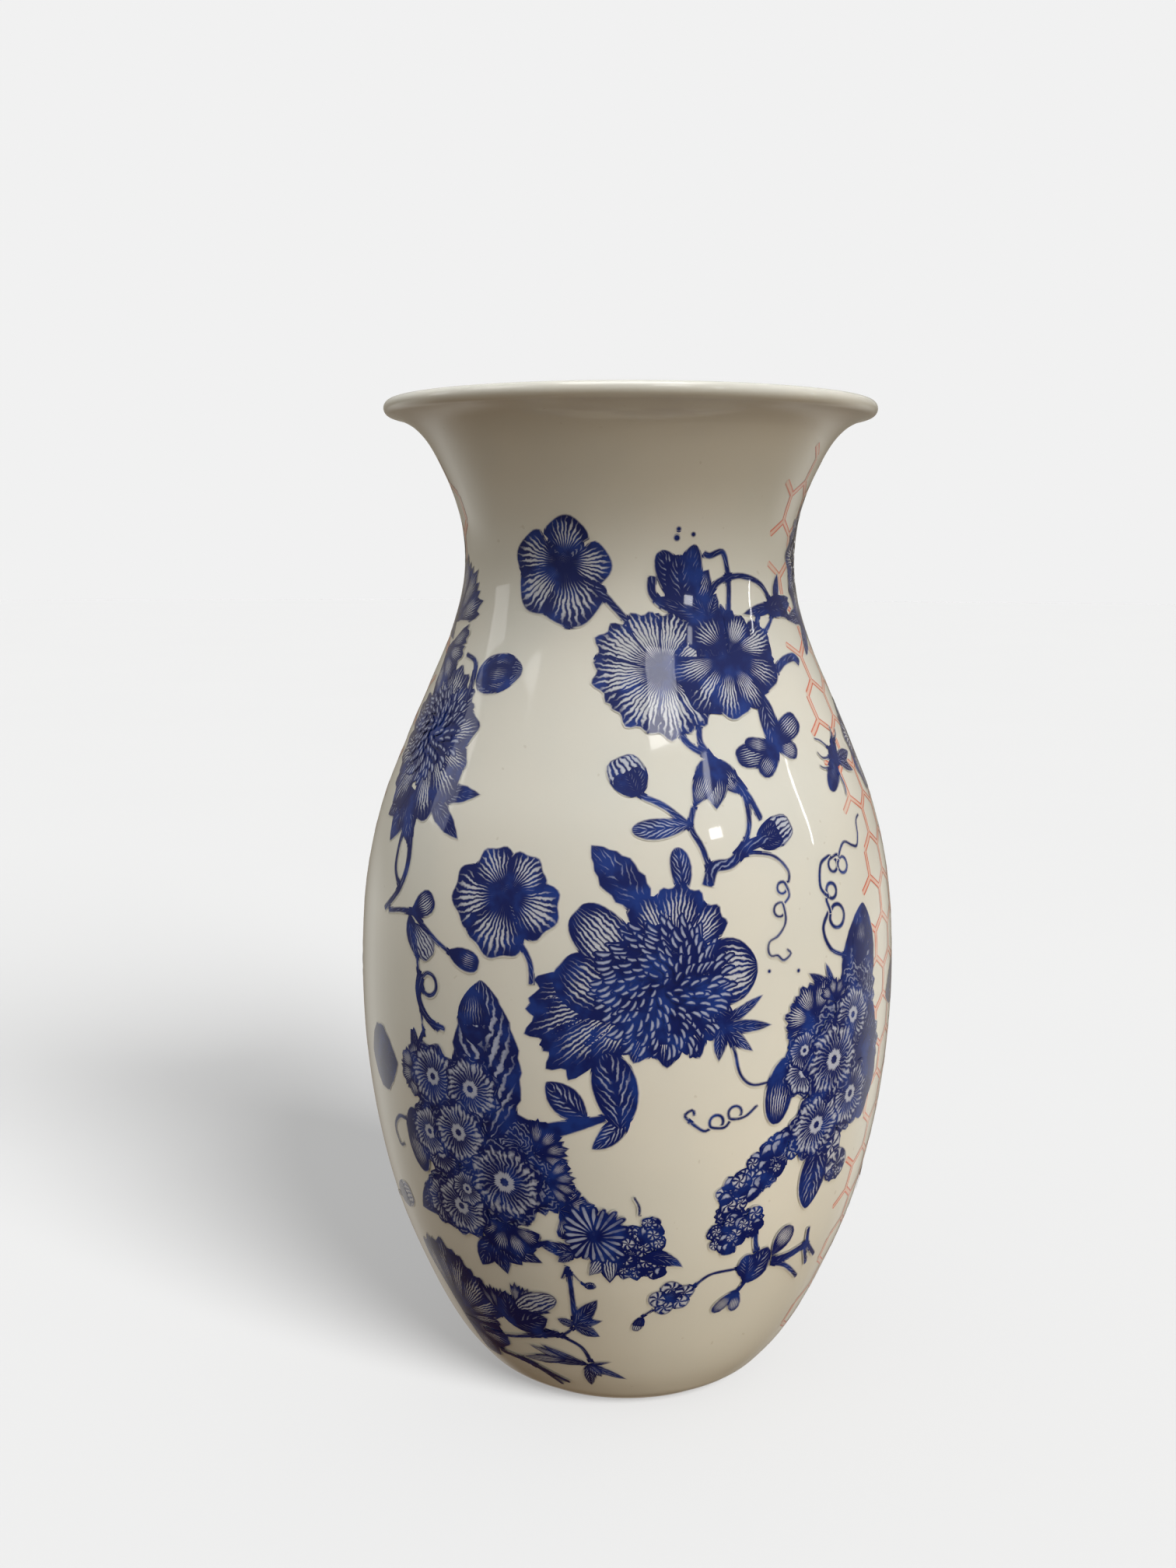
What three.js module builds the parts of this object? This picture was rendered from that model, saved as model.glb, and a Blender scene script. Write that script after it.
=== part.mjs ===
// A baluster vase in glazed porcelain: an ovoid body on a small turned foot, a waisted neck and a wide
// flared mouth with a rolled lip. Units are millimetres, +Z is up, and the origin is the centre of the
// foot's resting face. The body is made in sections joined at seams, under an outer and an inner coat
// of glaze. Every piece is a solid of revolution about Z.
import * as THREE from "three";

// Driving dimensions
const glazeThickness = 0.35;
const bodyThickness = 3.3;
const gap = 0.3; // clearance wherever two pieces meet face to face
const footHeight = 6.5;
const footRestInner = 34.4; // the resting face is the ring between these two radii
const footRestOuter = 38.8;
const footInset = 0.8; // the foot's inner side leans in by this much
const floorThickness = 4.85;
const floorEdge = 40; // the floor is flat out to this radius
const roundSegments = 48;
const lipSteps = 6;

// The outline of the finished vase from the foot to the lip, as [radius, height] where the curve's
// direction changes. A smooth curve runs through these points.
const outlinePoints = [
  [40.6, 0.8],
  [43.3, 3],
  [46.9, 6.2],
  [54.5, 16],
  [62.9, 32],
  [72.2, 55],
  [78.4, 80],
  [81.8, 105],
  [82.7, 130],
  [81.2, 155],
  [76.3, 178],
  [68.6, 198],
  [60.9, 216],
  [54.2, 232],
  [50.4, 247],
  [50.4, 260],
  [53.0, 271],
  [56.8, 280],
  [60.9, 287.5],
  [64.9, 292],
  [68.9, 294.4],
  [72.6, 295.5],
];

// Where each piece starts and ends, as an index into the outline
const glazeLine = 1;
const footTop = 2;
const bellySeam = 8;
const neckSeam = 12;
const lipSeam = 19;
const outlineEnd = outlinePoints.length - 1;

// Depths below the glazed outer surface, worked out from the wall's make-up
const outerCoatBack = glazeThickness;
const bodyOuter = outerCoatBack + gap;
const bodyInner = bodyOuter + bodyThickness;
const innerCoatBack = bodyInner + gap;
const wallThickness = innerCoatBack + glazeThickness;
const bodyBottom = footHeight + gap;
const bodyFloor = bodyBottom + floorThickness;

const outline = new THREE.SplineCurve(outlinePoints.map(([r, z]) => new THREE.Vector2(r, z)));

// A point of the wall at outline index i, depth below the glazed surface, slid along the wall.
function wallPoint(i, depth, slide = 0) {
  const t = i / outlineEnd;
  const along = outline.getTangent(t);
  const inward = new THREE.Vector2(-along.y, along.x);
  return outline.getPoint(t).addScaledVector(inward, depth).addScaledVector(along, slide);
}

// The wall's points from index a to index b at one depth, with the two ends slid along the wall.
function wallRun(a, b, depth, slideA = 0, slideB = 0) {
  const points = [];
  const step = Math.sign(b - a);
  for (let i = a; i !== b + step; i += step) {
    const slide = i === a ? slideA : i === b ? slideB : 0;
    points.push(wallPoint(i, depth, slide));
  }
  return points;
}

// The half round that closes the wall at the lip, from the outside over the top to the inside.
function lipArc(depth) {
  const centre = wallPoint(outlineEnd, wallThickness / 2);
  const start = wallPoint(outlineEnd, depth).sub(centre);
  const points = [];
  for (let k = 1; k < lipSteps; k++) {
    const turned = start.clone().rotateAround(new THREE.Vector2(), (Math.PI * k) / lipSteps);
    points.push(turned.add(centre));
  }
  return points;
}

// A flat floor inside the vase, at a depth below the glazed surface, from its rim to the axis.
function floorRun(depth) {
  const z = bodyFloor + depth - bodyInner;
  return [new THREE.Vector2(floorEdge, z), new THREE.Vector2(0, z)];
}

// A ring section of the body wall between two seams, with half a gap left at each end.
function ringSection(a, b) {
  const half = gap / 2;
  return [...wallRun(a, b, bodyOuter, half, -half), ...wallRun(b, a, bodyInner, -half, half)];
}

function footProfile() {
  return [
    new THREE.Vector2(footRestInner, 0),
    new THREE.Vector2(footRestOuter, 0),
    ...wallRun(0, glazeLine, bodyOuter),
    new THREE.Vector2(wallPoint(footTop, bodyOuter).x, footHeight),
    new THREE.Vector2(footRestInner - footInset, footHeight),
    new THREE.Vector2(footRestInner - footInset, footInset),
  ];
}

function lowerBodyProfile() {
  const half = gap / 2;
  return [
    new THREE.Vector2(0, bodyBottom),
    new THREE.Vector2(wallPoint(footTop, bodyOuter).x, bodyBottom),
    ...wallRun(footTop + 1, bellySeam, bodyOuter, 0, -half),
    ...wallRun(bellySeam, footTop + 1, bodyInner, -half, 0),
    ...floorRun(bodyInner),
  ];
}

function lipProfile() {
  const half = gap / 2;
  return [
    ...wallRun(lipSeam, outlineEnd, bodyOuter, half, 0),
    ...lipArc(bodyOuter),
    ...wallRun(outlineEnd, lipSeam, bodyInner, 0, half),
  ];
}

// The outer coat runs from the glaze line near the foot up the outside and over the top of the lip.
function outerGlazeProfile() {
  return [
    ...wallRun(glazeLine, outlineEnd, 0),
    ...lipArc(0),
    ...lipArc(outerCoatBack).reverse(),
    ...wallRun(outlineEnd, glazeLine, outerCoatBack),
  ];
}

// The inner coat runs from the lip down the inside and across the floor.
function innerGlazeProfile() {
  const first = footTop + 1;
  return [
    ...floorRun(innerCoatBack).reverse(),
    ...wallRun(first, outlineEnd, innerCoatBack),
    ...wallRun(outlineEnd, first, wallThickness),
    ...floorRun(wallThickness),
  ];
}

// Turns a profile about Z into a named mesh. A profile that stays off the axis is closed on itself.
function turned(name, profile, material) {
  const onAxis = profile[0].x === 0 || profile[profile.length - 1].x === 0;
  const points = onAxis ? profile : [...profile, profile[0].clone()];
  const geometry = new THREE.LatheGeometry(points, roundSegments);
  geometry.rotateX(Math.PI / 2);
  const mesh = new THREE.Mesh(geometry, material);
  mesh.name = name;
  return mesh;
}

const bisque = new THREE.MeshStandardMaterial({ color: 0xe6dfd2, roughness: 0.7, metalness: 0 });
const porcelain = new THREE.MeshStandardMaterial({ color: 0xe9e6dc, roughness: 0.45, metalness: 0 });
const glaze = new THREE.MeshStandardMaterial({ color: 0xeeece4, roughness: 0.08, metalness: 0 });

const vase = new THREE.Group();
vase.add(turned("foot_ring", footProfile(), bisque));
vase.add(turned("lower_body", lowerBodyProfile(), porcelain));
vase.add(turned("upper_body", ringSection(bellySeam, neckSeam), porcelain));
vase.add(turned("neck", ringSection(neckSeam, lipSeam), porcelain));
vase.add(turned("lip", lipProfile(), porcelain));
vase.add(turned("outer_glaze", outerGlazeProfile(), glaze));
vase.add(turned("inner_glaze", innerGlazeProfile(), glaze));

export default vase;
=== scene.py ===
from itertools import product
from math import atan2, cos, hypot, pi, radians, sin
from random import Random

import bpy
import numpy as np
from mathutils import Matrix, Vector


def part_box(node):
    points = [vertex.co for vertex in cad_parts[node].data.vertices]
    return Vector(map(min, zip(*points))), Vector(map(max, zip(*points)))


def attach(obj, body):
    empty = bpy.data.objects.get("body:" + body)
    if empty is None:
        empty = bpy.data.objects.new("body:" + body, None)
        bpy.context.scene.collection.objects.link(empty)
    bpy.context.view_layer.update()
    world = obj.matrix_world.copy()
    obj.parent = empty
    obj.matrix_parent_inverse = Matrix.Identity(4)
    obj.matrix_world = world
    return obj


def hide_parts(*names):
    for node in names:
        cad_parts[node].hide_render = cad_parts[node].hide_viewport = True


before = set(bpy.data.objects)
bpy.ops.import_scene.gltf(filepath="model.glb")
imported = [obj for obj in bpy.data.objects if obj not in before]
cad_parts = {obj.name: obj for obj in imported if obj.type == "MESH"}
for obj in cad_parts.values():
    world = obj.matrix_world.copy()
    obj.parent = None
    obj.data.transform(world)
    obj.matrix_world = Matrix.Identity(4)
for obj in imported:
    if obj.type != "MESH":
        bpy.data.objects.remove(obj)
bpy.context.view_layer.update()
scene = bpy.context.scene
mm = 0.001

print("stage: reading the vase's outline from the glaze")

vase = {
    "wall": 4.6 * mm,  # thickness with both coats of glaze
    "lipRadius": 2.3 * mm,
    "spanSteps": 6,  # points in each stretch of the outline
    "lipSteps": 14,
    "turns": 192,  # steps round the axis
    "lipStart": 1.9,  # the round of the lip starts this many lip radii below the top
    "coat": 0.35 * mm,  # one coat of glaze
    "coatReach": 0.5 * mm,  # a ring with another one this near outside it is the back of the coat
    "footLap": 0.75 * mm,  # the glaze stands this far off the foot's own side
    "lapRound": 0.4 * mm,  # the rolled edge of the glaze over the foot
    "floorEdge": 40 * mm,  # the inside floor is flat out to about this radius
    "cornerWide": 5 * mm,  # the corner of the floor sweeps up to the wall
    "cornerRise": 1.6 * mm,
    "floorInset": 6 * mm,  # a second ring of the floor, this far in from its edge
    "smoothAngle": 40,
    "weld": 0.005 * mm,
}


def glazeRings():
    # each ring of the glaze's corners once, as radius and height
    found = []
    same = 0.02 * mm
    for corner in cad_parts["outer_glaze"].data.vertices:
        ring = (hypot(corner.co.x, corner.co.y), corner.co.z)
        if not any(abs(ring[0] - r) < same and abs(ring[1] - z) < same for r, z in found):
            found.append(ring)
    return found


def outerOutline():
    # the outside of the outer coat, from the foot up to the lip
    rings = glazeRings()
    wallEnd = max(z for r, z in rings) - vase["lipStart"] * vase["lipRadius"]
    outline = []
    for r, z in rings:
        backed = any(r2 > r and hypot(r2 - r, z2 - z) < vase["coatReach"] for r2, z2 in rings)
        if z < wallEnd and not backed:
            outline.append((r, z))
    return sorted(outline, key=lambda ring: ring[1])


def smoothThrough(points, steps):
    # a smooth curve through the points, with so many steps from each to the next
    points = [Vector(p) for p in points]
    ends = [points[0]] + points + [points[-1]]
    curve = []
    for i in range(len(points) - 1):
        before, start, end, after = ends[i : i + 4]
        leave = (end - before) / 2
        arrive = (after - start) / 2
        for k in range(steps):
            t = k / steps
            cubic = (2 * start - 2 * end + leave + arrive) * t**3
            square = (-3 * start + 3 * end - 2 * leave - arrive) * t**2
            curve.append(cubic + square + leave * t + start)
    return curve + [points[-1]]


outline = smoothThrough(outerOutline(), vase["spanSteps"])
wallR = np.array([p.x for p in outline])
wallZ = np.array([p.y for p in outline])
wallArc = np.concatenate([[0], np.cumsum(np.hypot(np.diff(wallR), np.diff(wallZ)))])
alongR = np.gradient(wallR, wallArc)
alongZ = np.gradient(wallZ, wallArc)
print("outline rings", len(outline), "widest", round(max(wallR) / mm, 1), "mm")


def node(tree, kind, inputs=None, **settings):
    made = tree.nodes.new(kind)
    for key, value in settings.items():
        setattr(made, key, value)
    for socket, value in (inputs or {}).items():
        if isinstance(value, bpy.types.NodeSocket):
            tree.links.new(value, made.inputs[socket])
        else:
            made.inputs[socket].default_value = value
    return made


def calc(tree, operation, *values):
    return node(tree, "ShaderNodeMath", dict(enumerate(values)), operation=operation).outputs[0]


def blur(tree, value, low, high, start=0.0, end=1.0):
    sockets = {"Value": value, "From Min": low, "From Max": high, "To Min": start, "To Max": end}
    return node(tree, "ShaderNodeMapRange", sockets, interpolation_type="SMOOTHSTEP").outputs[0]


def noise(tree, place, scale, detail=2.0):
    sockets = {"Vector": place, "Scale": scale, "Detail": detail}
    return node(tree, "ShaderNodeTexNoise", sockets).outputs["Fac"]


def mixed(tree, amount, first, second):
    return node(tree, "ShaderNodeMix", {0: amount, 6: first, 7: second}, data_type="RGBA").outputs[2]


def ramp(tree, value, stops):
    made = node(tree, "ShaderNodeValToRGB", {"Fac": value})
    band = made.color_ramp
    band.elements[0].position, band.elements[1].position = stops[0][0], stops[-1][0]
    for place, _ in stops[1:-1]:
        band.elements.new(place)
    for element, (_, grey) in zip(band.elements, stops):
        element.color = (grey, grey, grey, 1)
    return made.outputs["Color"]


def newMaterial(name):
    material = bpy.data.materials.new(name)
    material.use_nodes = True
    return material, material.node_tree, material.node_tree.nodes["Principled BSDF"]


def grain(tree, place, scale):
    # fine noise from about -0.5 to 0.5
    return calc(tree, "SUBTRACT", noise(tree, place, scale), 0.5)


def uvPair(tree, mapName):
    pair = node(tree, "ShaderNodeUVMap", uv_map=mapName).outputs[0]
    return node(tree, "ShaderNodeSeparateXYZ", {0: pair}).outputs[:2]


glaze = {
    "warm": (0.782, 0.760, 0.680, 1),
    "cool": (0.750, 0.742, 0.675, 1),
    "speck": (0.42, 0.36, 0.26, 1),
    "speckScale": 330,
    "speckRange": (0.765, 0.80),
    "speckAmount": 0.22,
    "mottle": 22,  # patches of the warm and the cool white, per metre
    "mottleRange": (0.35, 0.65),
    "rough": 0.05,
    # slow waves, ripples and orange peel: how many per metre and how deep
    "relief": [(17, 0.30 * mm), (75, 0.06 * mm), (210, 0.010 * mm)],
}


def glossStart(name):
    material, tree, shader = newMaterial(name)
    place = node(tree, "ShaderNodeTexCoord").outputs["Object"]
    shader.inputs["Roughness"].default_value = glaze["rough"]
    shader.inputs["IOR"].default_value = 1.5
    below = {}
    for scale, depth in glaze["relief"]:
        sockets = {"Height": noise(tree, place, scale, 1.0), "Distance": depth, "Strength": 1.0, **below}
        below = {"Normal": node(tree, "ShaderNodeBump", sockets).outputs[0]}
    tree.links.new(below["Normal"], shader.inputs["Normal"])
    return material, tree, place, shader


def glazeColour(tree, place):
    patches = blur(tree, noise(tree, place, glaze["mottle"], 3.0), *glaze["mottleRange"])
    body = mixed(tree, patches, glaze["warm"], glaze["cool"])
    dots = noise(tree, place, glaze["speckScale"], 1.0)
    specks = blur(tree, dots, *glaze["speckRange"], 0.0, glaze["speckAmount"])
    return mixed(tree, specks, body, glaze["speck"])


def glazeMaterial():
    material, tree, place, shader = glossStart("warmWhiteGlaze")
    tree.links.new(glazeColour(tree, place), shader.inputs["Base Color"])
    return material


cobalt = {
    "deep": (0.003, 0.011, 0.112, 1),
    "thin": (0.010, 0.038, 0.235, 1),
    "wash": (0.27, 0.34, 0.60, 1),  # the pale blue between the lines
    "outlineNear": 0.35,  # the dark outline fades out between these distances from the edge, in mm
    "outlineFar": 1.00,
    "bleed": 0.62,  # how far the ink fades out at the edge of a whole motif, in mm
    "grain": 420,  # ragged edges of the lines, per metre
    "patches": 120,
    "patchy": 0.9,  # how much the cover changes from patch to patch
    "pool": 130,  # where the ink is thick and where it is thin
    "poolRange": (0.42, 0.70),
    "shine": 0.38,  # the printed glaze mirrors its surroundings a little less than the bare glaze
}

# Each ink has the number of its lines over u, over v and from the middle to the sides, how much they
# waver, how soft they are and how blue the ground is between them. Then come the cover from base to tip
# and what is added to it from the middle line to the sides.
inks = {
    "petalInk": {
        "lines": (5.7, 0.0, 0.0), "wobble": 1.3, "soft": 0.40, "ground": 0.40,
        "along": [(0, 1.4), (0.30, 1.28), (0.42, 0.84), (0.58, 0.44), (0.76, 0.56), (0.88, 0.98), (1, 1.3)],
        "across": [(0, -0.06), (0.45, 0.06), (0.72, 0.42), (1, 0.9)],
    },
    "paleInk": {
        "lines": (5.0, 0.0, 0.0), "wobble": 1.5, "soft": 0.42, "ground": 0.34,
        "along": [(0, 1.5), (0.26, 1.25), (0.38, 0.72), (0.55, 0.30), (0.72, 0.36), (0.86, 0.75), (1, 1.3)],
        "across": [(0, -0.03), (0.6, 0.0), (0.85, 0.12), (1, 0.5)],
    },
    "leafInk": {
        "lines": (0.0, 7.0, -3.2), "wobble": 1.3, "soft": 0.42, "ground": 0.66,
        "along": [(0, 1.3), (0.3, 0.92), (0.8, 0.90), (1, 1.2)],
        "across": [(0, 0.5), (0.10, 0.3), (0.20, -0.12), (0.55, 0.06), (1, 0.7)],
    },
    "floretInk": {
        "lines": (0.0, 0.0, 0.0), "wobble": 0.5, "soft": 0.42, "ground": 0.70,
        "along": [(0, 1.6), (0.15, 1.2), (0.30, 0.72), (0.88, 0.66), (1, 1.5)],
        "across": [(0, 0.0), (0.25, 0.05), (0.5, 0.7), (1, 1.0)],
    },
    "ringInk": {
        "lines": (15.0, 1.5, 0.0), "wobble": 1.9, "soft": 0.66, "ground": 0.56,
        "along": [(0, 1.5), (0.10, 1.5), (0.14, -0.3), (0.24, -0.2), (0.32, 1.3), (0.52, 1.05),
                  (0.66, 0.82), (0.82, 0.42), (0.91, 0.95), (1, 1.3)],
        "across": [(0, 0.0), (1, 0.0)],
    },
    "stemInk": {
        "lines": (1.2, 5.0, 0.0), "wobble": 1.2, "soft": 0.42, "ground": 0.8,
        "along": [(0, 1.12), (1, 1.12)],
        "across": [(0, 0.0), (1, 0.4)],
    },
    "washInk": {
        "lines": (9.0, 3.0, 0.0), "wobble": 1.5, "soft": 0.42, "ground": 1.0,
        "along": [(0, 0.72), (0.5, 0.55), (1, 0.66)],
        "across": [(0, 0.0), (1, 0.3)],
    },
    "thicketInk": {
        "lines": (5.0, 5.5, 0.0), "wobble": 2.6, "soft": 0.60, "ground": 0.66,
        "along": [(0, 0.92), (1, 0.96)],
        "across": [(0, 0.0), (1, 0.0)],
    },
    "outlineInk": {
        "lines": (3.0, 0.6, 0.0), "wobble": 1.4, "soft": 0.42, "ground": 0.46,
        "along": [(0, 1.1), (0.35, 0.55), (1, 0.38)],
        "across": [(0, 0.0), (1, 0.1)],
    },
}


def coverRamp(tree, value, stops):
    # a ramp holds only 0 to 1, so the stops are squeezed into it and spread again
    low, high = -0.5, 2.0
    squeezed = [(place, (level - low) / (high - low)) for place, level in stops]
    return calc(tree, "MULTIPLY_ADD", ramp(tree, value, squeezed), high - low, low)


def inkMaterial(name, ink):
    material, tree, place, shader = glossStart(name)
    shader.inputs["Specular IOR Level"].default_value = cobalt["shine"]
    u, v = uvPair(tree, "ink")
    edge, tone = uvPair(tree, "edge")
    inner, _ = uvPair(tree, "rim")
    side = calc(tree, "ABSOLUTE", u)
    fine = grain(tree, place, cobalt["grain"])
    patches = grain(tree, place, cobalt["patches"])
    alongU, alongV, alongSide = ink["lines"]
    phase = calc(tree, "MULTIPLY", u, alongU)
    phase = calc(tree, "MULTIPLY_ADD", v, alongV, phase)
    phase = calc(tree, "MULTIPLY_ADD", side, alongSide, phase)
    phase = calc(tree, "MULTIPLY_ADD", fine, ink["wobble"], phase)
    lines = calc(tree, "COSINE", calc(tree, "MULTIPLY", phase, 2 * pi))
    lines = calc(tree, "MULTIPLY_ADD", lines, 0.5, 0.5)
    cover = calc(tree, "ADD", coverRamp(tree, v, ink["along"]), coverRamp(tree, side, ink["across"]))
    cover = calc(tree, "ADD", cover, calc(tree, "MULTIPLY_ADD", tone, 1.2, -0.6))
    cover = calc(tree, "MULTIPLY_ADD", fine, 0.5, cover)
    cover = calc(tree, "MULTIPLY_ADD", patches, cobalt["patchy"], cover)
    amount = blur(tree, calc(tree, "SUBTRACT", cover, lines), -ink["soft"], ink["soft"])
    ragged = calc(tree, "MULTIPLY_ADD", fine, 0.5, edge)
    outlined = blur(tree, ragged, cobalt["outlineNear"], cobalt["outlineFar"], 1.0, 0.0)
    amount = calc(tree, "MAXIMUM", amount, outlined)
    ground = mixed(tree, ink["ground"], glazeColour(tree, place), cobalt["wash"])
    pool = noise(tree, place, cobalt["pool"], 3.0)
    body = mixed(tree, blur(tree, pool, *cobalt["poolRange"]), cobalt["deep"], cobalt["thin"])
    printed = mixed(tree, amount, ground, body)
    shown = blur(tree, calc(tree, "MULTIPLY_ADD", fine, 0.3, edge), -0.05, cobalt["bleed"])
    shown = calc(tree, "MAXIMUM", shown, inner)
    tree.links.new(mixed(tree, shown, glazeColour(tree, place), printed), shader.inputs["Base Color"])
    return material


coral = {
    "line": (0.70, 0.165, 0.095, 1),
    "fill": (0.80, 0.46, 0.34, 1),
    "fillAmount": 0.75,
    "lineRange": (0.38, 0.62),  # where a band's two lines start, from its middle to its sides
    "wear": 60,  # worn patches per metre
    "wearRange": (0.40, 0.72),
    "worn": 0.5,  # how much the colour is lost where it is worn most
}


def coralMaterial():
    material, tree, place, shader = glossStart("coralPrint")
    u, _ = uvPair(tree, "ink")
    fine = grain(tree, place, cobalt["grain"])
    side = calc(tree, "MULTIPLY_ADD", fine, 0.3, calc(tree, "ABSOLUTE", u))
    line = blur(tree, side, *coral["lineRange"])
    bare = glazeColour(tree, place)
    patches = noise(tree, place, coral["wear"], 3.0)
    wear = blur(tree, patches, *coral["wearRange"], 1.0, 1.0 - coral["worn"])
    fill = mixed(tree, calc(tree, "MULTIPLY", wear, coral["fillAmount"]), bare, coral["fill"])
    colour = mixed(tree, calc(tree, "MULTIPLY", wear, line), fill, coral["line"])
    tree.links.new(colour, shader.inputs["Base Color"])
    return material


bisque = {
    "light": (0.80, 0.76, 0.67, 1),
    "dark": (0.72, 0.67, 0.57, 1),
    "stain": (0.50, 0.42, 0.31, 1),
    "stains": 70,  # per metre
    "stainAmount": 0.6,
    "grain": 900,
    "grit": 0.05 * mm,
    "rough": 0.78,
}


def bisqueMaterial():
    material, tree, shader = newMaterial("groundBisque")
    place = node(tree, "ShaderNodeTexCoord").outputs["Object"]
    shader.inputs["Roughness"].default_value = bisque["rough"]
    grains = noise(tree, place, bisque["grain"], 3.0)
    stain = blur(tree, noise(tree, place, bisque["stains"], 3.0), 0.45, 0.75, 0.0, bisque["stainAmount"])
    clean = mixed(tree, grains, bisque["dark"], bisque["light"])
    tree.links.new(mixed(tree, stain, clean, bisque["stain"]), shader.inputs["Base Color"])
    grit = node(tree, "ShaderNodeBump", {"Height": grains, "Distance": bisque["grit"], "Strength": 0.8})
    tree.links.new(grit.outputs[0], shader.inputs["Normal"])
    return material


materials = {name: inkMaterial(name, ink) for name, ink in inks.items()}
materials["glaze"] = glazeMaterial()
materials["coral"] = coralMaterial()
materials["bisque"] = bisqueMaterial()
print("stage: materials made", len(materials))


def turnedPiece(name, profile, material):
    bpy.ops.object.select_all(action="DESELECT")
    bpy.ops.mesh.primitive_plane_add(size=0.2 * mm, location=(profile[0][0], 0, profile[0][1]))
    piece = bpy.context.object
    piece.name = name
    bpy.ops.object.transform_apply(location=True, rotation=False, scale=False)
    bpy.ops.object.mode_set(mode="EDIT")
    bpy.ops.mesh.select_all(action="SELECT")
    bpy.ops.mesh.merge(type="CENTER")
    for (r, z), (r2, z2) in zip(profile, profile[1:]):
        bpy.ops.mesh.extrude_region_move(TRANSFORM_OT_translate={"value": (r2 - r, 0, z2 - z)})
    bpy.ops.mesh.select_all(action="SELECT")
    bpy.ops.mesh.spin(steps=vase["turns"], angle=2 * pi, center=(0, 0, 0), axis=(0, 0, 1))
    bpy.ops.mesh.select_all(action="SELECT")
    bpy.ops.mesh.remove_doubles(threshold=vase["weld"])
    bpy.ops.mesh.normals_make_consistent(inside=False)
    bpy.ops.object.mode_set(mode="OBJECT")
    bpy.ops.object.shade_smooth_by_angle(angle=radians(vase["smoothAngle"]))
    piece.data.materials.append(material)
    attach(piece, "root")
    return piece


def bodyProfile():
    # from the middle of the base up the outside, over the lip and down the inside to the floor
    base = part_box("lower_body")[0].z
    lineR, lineZ = wallR[0], wallZ[0]
    lap, edge = lineR - vase["footLap"], vase["lapRound"]
    profile = [(0, base), (lap - edge, base), (lap, base - edge)]
    profile += [(lap - edge / 4, lineZ + vase["coat"]), (lap + edge / 2, lineZ)]
    profile += list(zip(wallR, wallZ))
    outward = Vector((alongZ[-1], -alongR[-1])).normalized()
    centre = Vector((wallR[-1], wallZ[-1])) - outward * vase["lipRadius"]
    for k in range(1, vase["lipSteps"] + 1):
        turned = Matrix.Rotation(pi * k / vase["lipSteps"], 2) @ outward
        profile.append(tuple(centre + turned * vase["lipRadius"]))
    inner = []
    for r, z, ar, az in zip(wallR, wallZ, alongR, alongZ):
        inner.append((r - az * vase["wall"], z + ar * vase["wall"]))
    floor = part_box("inner_glaze")[0].z + vase["coat"]
    corner, flat = vase["cornerWide"], vase["floorEdge"]
    inner = [(r, z) for r, z in inner if z > floor + corner]
    profile += inner[::-1][1:] + [(flat + corner, floor + vase["cornerRise"]), (flat, floor)]
    return profile + [(flat - vase["floorInset"], floor), (0, floor)]


body = turnedPiece("glazed_body", bodyProfile(), materials["glaze"])
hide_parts("lower_body", "upper_body", "neck", "lip", "outer_glaze", "inner_glaze")

foot = {
    "restInner": 34.4 * mm,
    "restOuter": 38.8 * mm,
    "round": 0.7 * mm,  # the ground edges of the resting face
    "chamfer": 0.2 * mm,
    "flare": 0.3 * mm,
    "sideStep": 0.8 * mm,  # the inner side stands this far in
    "innerRise": 1.2 * mm,
    "clear": 0.05 * mm,
    "tuck": 0.1 * mm,  # how far the ring goes up into the body
}


def footProfile():
    # once round the ring's section
    low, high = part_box("foot_ring")
    inner, outer = foot["restInner"], foot["restOuter"]
    bevel, flare = foot["chamfer"], foot["flare"]
    side = wallR[0] - vase["footLap"] - foot["clear"]
    inside = inner - foot["sideStep"]
    top = high.z + foot["tuck"]
    profile = [(inner + foot["round"], low.z), (outer - foot["round"], low.z)]
    profile += [(outer - bevel, low.z + bevel), (outer + flare, low.z + foot["round"])]
    profile += [(side, wallZ[0] + bevel), (side - bevel, top), (inside, top)]
    profile += [(inside, low.z + foot["innerRise"]), (inner, low.z + flare)]
    return profile + [profile[0]]


footRing = turnedPiece("bare_foot_ring", footProfile(), materials["bisque"])
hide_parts("foot_ring")
print("stage: body and foot turned")


# Sheets of print are drawn flat, in mm, and laid on the glaze afterwards.
transfer = {
    "grid": 1.3,  # about the size of a sheet's faces
    "lift": 0.08,  # the first blue sheet over the glaze
    "coralLift": 0.05,
    "layer": 0.014,  # each sheet over the one before
    "stack": 0.36,  # the most that one motif's sheets stand over its first
    "tilt": 0.8,  # the share of a layer that a sheet climbs from its base to its tip
    "touch": 0.95,  # sheets nearer than about this share a rim
    "solid": 0.35,  # a point this far inside its sheet counts as covered
    "near": 3,  # a point this near its sheet's edge may lie in a rim
}
blanks = {}


def blankSheet(cols, rows):
    # u runs from -1 to 1 across and v from 0 to 1 along
    if (cols, rows) not in blanks:
        bpy.ops.object.select_all(action="DESELECT")
        bpy.ops.mesh.primitive_grid_add(x_subdivisions=cols, y_subdivisions=rows, size=2)
        grid = bpy.context.object
        corners = np.array([v.co for v in grid.data.vertices])
        faces = np.array([f.vertices[:] for f in grid.data.polygons])
        bpy.data.meshes.remove(grid.data)
        blanks[cols, rows] = (corners[:, 0].copy(), (corners[:, 1] + 1) / 2, faces)
    return blanks[cols, rows]


def cells(length, least=3):
    return max(least, int(np.ceil(length / transfer["grid"])))


def sheetOf(ink, faces, x, y, u, v, edge, tone):
    return {"ink": ink, "faces": faces, "points": np.stack([x, y, u, v, edge, np.full_like(x, tone)], -1)}


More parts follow.
